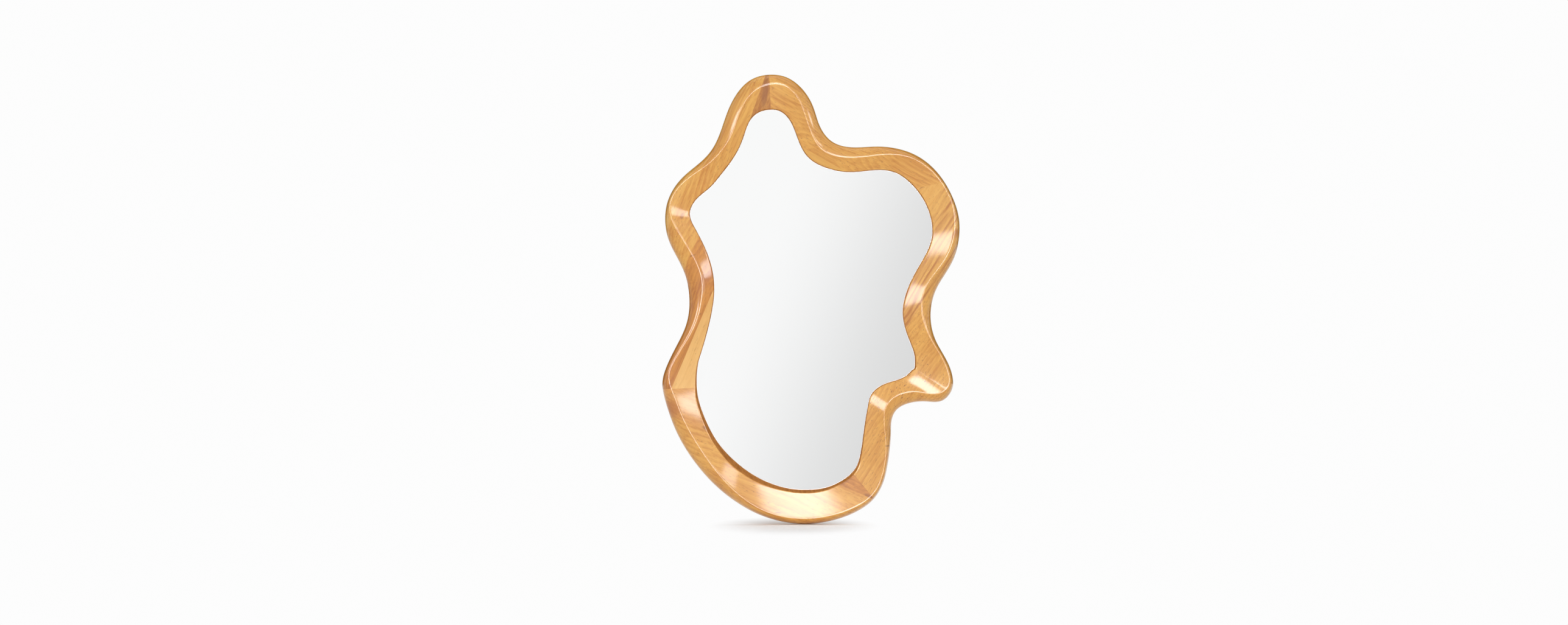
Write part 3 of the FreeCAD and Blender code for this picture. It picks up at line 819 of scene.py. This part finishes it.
STEEL = plain_material("zinc_steel", srgb(196, 196, 192), srgb(158, 158, 156), 260.0,
                       rough=(0.22, 0.38), metallic=1.0, stretch=(1, 1, 0.25),
                       bump_strength=0.12)
PANEL = plain_material("hardboard", srgb(158, 118, 80), srgb(122, 86, 56), 420.0,
                       rough=(0.5, 0.72), bump_strength=0.35, detail=6.0)
FOAM = plain_material("foam", srgb(232, 232, 228), srgb(205, 205, 200), 900.0,
                      rough=(0.8, 0.95), bump_strength=0.5)
RUBBER = plain_material("bumper_rubber", srgb(38, 38, 38), srgb(24, 24, 24), 500.0,
                        rough=(0.5, 0.7), bump_strength=0.3)
TENON = plain_material("bare_tenon", srgb(214, 172, 120), srgb(190, 145, 95), 300.0,
                       rough=(0.6, 0.8), stretch=(1, 1, 0.1))

dress("foam_tape", FOAM)
for joint in ("apex", "upper_right", "lower_right", "lower_left"):
    dress("tenon_" + joint, TENON)


# ------------------------------------------------------------------ pane, panel and fittings
SHEET_THICKNESS = 4.0
EASED_CORNER = 0.3          # an eased edge's middle point, as a share of its width
FLAT_SHARP = 12.0           # degrees; keeps the flat sheets from shading as if they were curved


def fit(mesh, node, material, body="mirror", sharp=38.0):
    """Finishes a piece that stands for a CAD node."""
    obj = finish_mesh(mesh, "shown_" + node, sharp)
    obj.data.materials.append(material)
    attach(obj, body)
    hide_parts(node)
    return obj


def sheet_mesh(past_opening, front_y, ease):
    """A flat sheet that reaches this far past the opening, with its edges eased, in mm."""
    places = np.arange(COUNT * STEPS) / STEPS
    outer, inward, width, *_ = rails(places)
    back_y = front_y + SHEET_THICKNESS
    soft = EASED_CORNER * ease
    mesh = bmesh.new()
    rows = []
    for inset, y in ((ease, front_y), (soft, front_y + soft), (0, front_y + ease),
                     (0, back_y - ease), (soft, back_y - soft), (ease, back_y)):
        run = (width - past_opening + inset)[:, None]
        xz = outer + inward * run
        rows.append([mesh.verts.new((px * MM, y * MM, pz * MM)) for px, pz in xz])
    count = len(places)
    for a, b in zip(rows, rows[1:]):
        for j in range(count):
            k = (j + 1) % count
            mesh.faces.new((a[j], a[k], b[k], b[j]))
    mesh.faces.new(rows[0])
    mesh.faces.new(list(reversed(rows[-1])))
    return mesh


# the cross recess of a screw: half the width of an arm and its reach from the centre, and the
# width of the slope beside each, in mm
CROSS_HALF_WIDTH = 0.75
CROSS_SIDE_SLOPE = 0.3
CROSS_REACH = 2.1
CROSS_END_SLOPE = 0.5


def cross_depth(px, pz):
    """1 inside the cross and 0 outside it, with sloping sides."""
    arm = min(abs(px), abs(pz))
    reach = max(abs(px), abs(pz))
    return (min(1, max(0, (CROSS_HALF_WIDTH - arm) / CROSS_SIDE_SLOPE))
            * min(1, max(0, (CROSS_REACH - reach) / CROSS_END_SLOPE)))


def lathe(mesh, profile, centre, segments=48, recess=0.0):
    """Adds a turned shape to the mesh, from radius and height pairs round an axis along y.

    recess is the depth of a cross sunk in its top, in mm.
    """
    rows = []
    for radius, height in profile:
        count = segments if radius > 0 else 1
        row = []
        for i in range(count):
            angle = 2 * math.pi * i / segments
            px, pz = radius * math.cos(angle), radius * math.sin(angle)
            drop = recess * cross_depth(px, pz) if height > 0 else 0.0
            row.append(mesh.verts.new(((centre[0] + px) * MM, (centre[1] + height - drop) * MM,
                                       (centre[2] + pz) * MM)))
        rows.append(row)
    for a, b in zip(rows, rows[1:]):
        for i in range(segments):
            j = (i + 1) % segments
            corners = [a[i % len(a)], a[j % len(a)], b[j % len(b)], b[i % len(b)]]
            mesh.faces.new(list(dict.fromkeys(corners)))


FLAT_ANGLE = math.radians(1.0)      # faces that differ by less are one
SHARP_ANGLE = math.radians(35)      # edges sharper than this are eased


def eased(node, width, segments=2):
    """A copy of a CAD node's shape with its sharp edges eased, width in mm."""
    mesh = bmesh.new()
    mesh.from_mesh(nodes[node].data)
    bmesh.ops.remove_doubles(mesh, verts=mesh.verts, dist=WELD)
    bmesh.ops.dissolve_limit(mesh, angle_limit=FLAT_ANGLE, verts=mesh.verts, edges=mesh.edges)
    sharp = [e for e in mesh.edges
             if len(e.link_faces) == 2 and e.calc_face_angle(0) > SHARP_ANGLE]
    bmesh.ops.bevel(mesh, geom=sharp, offset=width * MM, segments=segments, profile=0.5,
                    affect="EDGES", clamp_overlap=True)
    return mesh


fit(sheet_mesh(PANE_REBATE - SHEET_GAP, -PANE_FLOOR, 0.5),
    "mirror_pane", mirror_material(), sharp=FLAT_SHARP)
fit(sheet_mesh(PANEL_REBATE - SHEET_GAP, -PANEL_FLOOR, 0.4),
    "back_panel", PANEL, sharp=FLAT_SHARP)
fit(eased("panel_points", 0.12), "panel_points", STEEL)

# radius and height of the bumpers' and the screws' outlines, from the axis and the seat
BUMPER = ((0, 0), (5.6, 0), (6.0, 0.35), (5.95, 2.6), (5.75, 3.7), (5.25, 4.6), (4.5, 5.15),
          (3.5, 5.42), (2.6, 5.5), (1.7, 5.46), (0.9, 5.36), (0, 5.3))
SCREW = ((0, 1.8), (0.3, 1.8), (0.6, 1.79), (0.9, 1.78), (1.2, 1.77), (1.5, 1.74), (1.8, 1.70),
         (2.1, 1.64), (2.4, 1.55), (2.7, 1.42), (3.0, 1.22), (3.2, 1.0), (3.33, 0.7),
         (3.39, 0.4), (3.38, 0.0), (1.9, -0.02), (1.9, -12.5), (1.2, -14.6), (0, -16.0))
BUMPER_STATIONS = (30, 34)
SCREW_HEIGHTS = (-24.0, -37.0)
STRAP_TOP = 2.4             # the screws' heads sit on the straps, this far behind the frame
CROSS_DEPTH = 0.9

bumpers = bmesh.new()
for station in BUMPER_STATIONS:
    x_mm = (STATIONS[station, 0] + STATIONS[station, 2]) / 2
    z_mm = (STATIONS[station, 1] + STATIONS[station, 3]) / 2
    lathe(bumpers, BUMPER, (x_mm, 0.0, z_mm))
fit(bumpers, "wall_bumpers", RUBBER)

for side in ("left", "right"):
    corners = [Vector(c) for c in nodes["hanger_strap_" + side].bound_box]
    x_mm = sum(c.x for c in corners) / len(corners) / MM
    screws = bmesh.new()
    for z_mm in SCREW_HEIGHTS:
        lathe(screws, SCREW, (x_mm, STRAP_TOP, z_mm), recess=CROSS_DEPTH)
    fit(screws, "hanger_screws_" + side, STEEL)
    fit(eased("hanger_strap_" + side, 0.35), "hanger_strap_" + side, STEEL)
    fit(eased("d_ring_" + side, 0.55, 3), "d_ring_" + side, STEEL,
        "d_ring_" + side)


# ------------------------------------------------------------------ floor, backdrop and lights
FLOOR_Z = -0.6238
CENTRE_X = -0.0543          # the camera stands straight in front of this place
CENTRE_Z = -0.1997
DISTANCE = 8.74
STAGE_SIZE = 6.0
FLOOR_Y = 1.6               # the floor's centre, so that the pane doesn't mirror its edge
CARD_DISTANCE = 9.4
FLAG_SIZE = 24.0
FLAG_Y = 7.0
FACING = (math.radians(90), 0, 0)
WHITE = (0.98, 0.98, 0.98, 1)
FLOOR_PAINT = (0.93, 0.93, 0.93, 1)
SWEEP_WHITE = (0.985, 0.985, 0.985, 1)
SWEEP_GREY = (0.73, 0.73, 0.73, 1)
DIM_BROWN = (0.16, 0.09, 0.04, 1)
# the painted part of the floor holds the shadow: its centre, measured from the floor's, and
# how far it reaches from there
PAINT_CENTRE = (0.02, -1.68)
PAINT_REACH = (0.18, 0.42)


def stage_plane(name, size, location, rotation, material):
    bpy.ops.mesh.primitive_plane_add(size=size, location=location, rotation=rotation)
    obj = bpy.context.object
    obj.name = name
    obj.data.materials.append(material)
    return obj


def gloss_only(obj):
    """Lets nothing but glossy rays see the object."""
    obj.visible_camera = False
    obj.visible_diffuse = False
    obj.visible_shadow = False
    obj.visible_transmission = False


def floor_material():
    """Near-white floor that keeps the shadow near the object and fades to the backdrop."""
    tree = material_tree("studio_floor")
    x, y, _ = tree.coordinates()
    dx = tree.over(tree.minus(x, PAINT_CENTRE[0]), PAINT_REACH[0])
    dy = tree.over(tree.minus(y, PAINT_CENTRE[1]), PAINT_REACH[1])
    share = tree.times(tree.ramp(tree.length(dx, dy), 0.2, 1.0), tree.seen_directly())
    paint = tree.fed("ShaderNodeBsdfDiffuse", {"Color": FLOOR_PAINT})
    white = tree.fed("ShaderNodeEmission", {"Color": WHITE})
    return tree.output(tree.mix_shaders(share, paint, white))


def sweep_material():
    """Studio sweep that the pane mirrors: white on the left, light grey on the lower right."""
    tree = material_tree("reflected_sweep")
    x, y, _ = tree.coordinates()
    shade = tree.ramp(tree.weighted(x, 0.93, y, -0.36), -0.25, 0.62)
    return tree.output(tree.fed("ShaderNodeEmission", {
        "Color": tree.mix(shade, SWEEP_WHITE, SWEEP_GREY)}))


def dim_material():
    tree = material_tree("dim_studio")
    return tree.output(tree.fed("ShaderNodeEmission", {"Color": DIM_BROWN}))


stage_plane("floor", STAGE_SIZE, (CENTRE_X, FLOOR_Y, FLOOR_Z), (0, 0, 0), floor_material())
gloss_only(stage_plane("sweep_card", STAGE_SIZE, (0.0, -CARD_DISTANCE, CENTRE_Z), FACING,
                       sweep_material()))

REFLECTION_DISTANCE = 6.0
LOOK_AT = Vector((0.0, 0.0, -0.17))
# which way each box lies from the frame, azimuth then elevation, half its width and half its
# height, all in degrees, and its strength
SOFT_BOXES = {
    "glow_top": (1, 29, 14, 12, 14.0),
    "glow_left": (-37, 12, 14, 9, 11.0),
    "glow_right": (36, 4, 8, 8, 9.0),
    "glow_right_upper": (31, 24, 5, 9, 7.0),
    "glow_far_right": (60, 16, 9, 8, 10.0),
    "glow_floor": (12, -57, 12, 8, 5.0),
}


def soft_box_material(name, strength):
    """A glow that fades to clear at the edges of a plane two units wide."""
    tree = material_tree(name)
    x, y, _ = tree.coordinates()
    reach = tree.add(tree.math("POWER", tree.math("ABSOLUTE", x), 3.0),
                     tree.math("POWER", tree.math("ABSOLUTE", y), 3.0))
    share = tree.ramp(reach, 0.05, 1.0, 1.0, 0.0)
    clear = tree.fed("ShaderNodeBsdfTransparent", {})
    glow = tree.fed("ShaderNodeEmission", {"Strength": strength})
    return tree.output(tree.mix_shaders(share, clear, glow))


def soft_box(name, azimuth, elevation, half_wide, half_high, strength):
    """A soft-edged box that only gloss sees."""
    turn, lift = math.radians(azimuth), math.radians(elevation)
    way = Vector((math.sin(turn) * math.cos(lift), -math.cos(turn) * math.cos(lift),
                  math.sin(lift)))
    box = stage_plane(name, 2.0, LOOK_AT + way * REFLECTION_DISTANCE,
                      way.to_track_quat("Z", "Y").to_euler(), soft_box_material(name, strength))
    box.scale = (REFLECTION_DISTANCE * math.tan(math.radians(half_wide)),
                 REFLECTION_DISTANCE * math.tan(math.radians(half_high)), 1)
    gloss_only(box)


for name, shape in SOFT_BOXES.items():
    soft_box(name, *shape)

# the side walls reflect a dim studio behind the frame
gloss_only(stage_plane("flag_behind", FLAG_SIZE, (0.0, FLAG_Y, 0.0), FACING, dim_material()))


def area_light(name, location, target, size, watts):
    data = bpy.data.lights.new(name, "AREA")
    data.shape = "RECTANGLE"
    data.size, data.size_y = size
    data.energy = watts
    obj = bpy.data.objects.new(name, data)
    obj.location = location
    direction = Vector(target) - Vector(location)
    obj.rotation_euler = direction.to_track_quat("-Z", "Y").to_euler()
    bpy.context.scene.collection.objects.link(obj)
    return obj


def shine_only_on(light, name, objects):
    """Links the light to a new collection of the objects that it may light."""
    group = bpy.data.collections.new(name)
    for obj in objects:
        group.objects.link(obj)
    light.light_linking.receiver_collection = group


# these light the wood and cast the shadow, and gloss doesn't show them
LIGHT_Y = -3.0
FILLS = {
    "fill_top": dict(location=(0.1, LIGHT_Y, 1.3), target=(0.1, 0, -0.3), size=(1.6, 1.0),
                     watts=31.0),
    "fill_right": dict(location=(1.62, LIGHT_Y, 0.02), target=(0, 0, -0.1), size=(0.6, 1.0),
                       watts=15.0),
    "fill_left": dict(location=(-1.9, LIGHT_Y, 0.5), target=(0.1, 0, -0.2), size=(1.0, 0.7),
                      watts=19.0),
    "overhead": dict(location=(0.0, 0.6, 1.4), target=(0.0, 0.0, -0.6), size=(0.9, 0.6),
                     watts=8.0),
}
for name, settings in FILLS.items():
    area_light(name, **settings).visible_glossy = False

# only the boards' gloss shows this one, as the bright line along the whole ridge
front = area_light("front_glow", location=(-0.05, LIGHT_Y, -0.16), target=(-0.05, 0, -0.16),
                   size=(0.75, 1.15), watts=33.0)
front.visible_diffuse = False
shine_only_on(front, "carved_boards",
              [o for o in bpy.data.objects if o.name.startswith("carved_")])
# the panel and the metal behind are lit from the wall's side
back = area_light("back_glow", location=(-0.5, 3.0, 1.3), target=(0.0, 0.0, -0.1),
                  size=(1.8, 1.2), watts=60.0)
shine_only_on(back, "fittings",
              [o for o in bpy.data.objects
               if o.name.startswith("shown_") and o.name != "shown_mirror_pane"])

# the world lights the object with one strength and is seen with another, which is near white
WORLD_LIGHT = 0.41
WORLD_SHOWN = 0.98
world = bpy.data.worlds.new("studio")
bpy.context.scene.world = world
tree = Tree(world, "ShaderNodeOutputWorld")
tree.output(tree.mix_shaders(
    tree.seen_directly(),
    tree.fed("ShaderNodeBackground", {"Color": (1, 1, 1, 1), "Strength": WORLD_LIGHT}),
    tree.fed("ShaderNodeBackground", {"Color": (1, 1, 1, 1), "Strength": WORLD_SHOWN}),
))

# ------------------------------------------------------------------ camera
camera_data = bpy.data.cameras.new("camera")
camera_data.lens = 100.0
camera_data.sensor_width = 36.0
camera_data.sensor_fit = "HORIZONTAL"
camera_data.clip_end = 100.0
camera = bpy.data.objects.new("camera", camera_data)
camera.location = (CENTRE_X, -DISTANCE, CENTRE_Z)
camera.rotation_euler = (math.radians(90), 0, 0)
bpy.context.scene.collection.objects.link(camera)
bpy.context.scene.camera = camera

bpy.context.scene.view_settings.view_transform = "Standard"
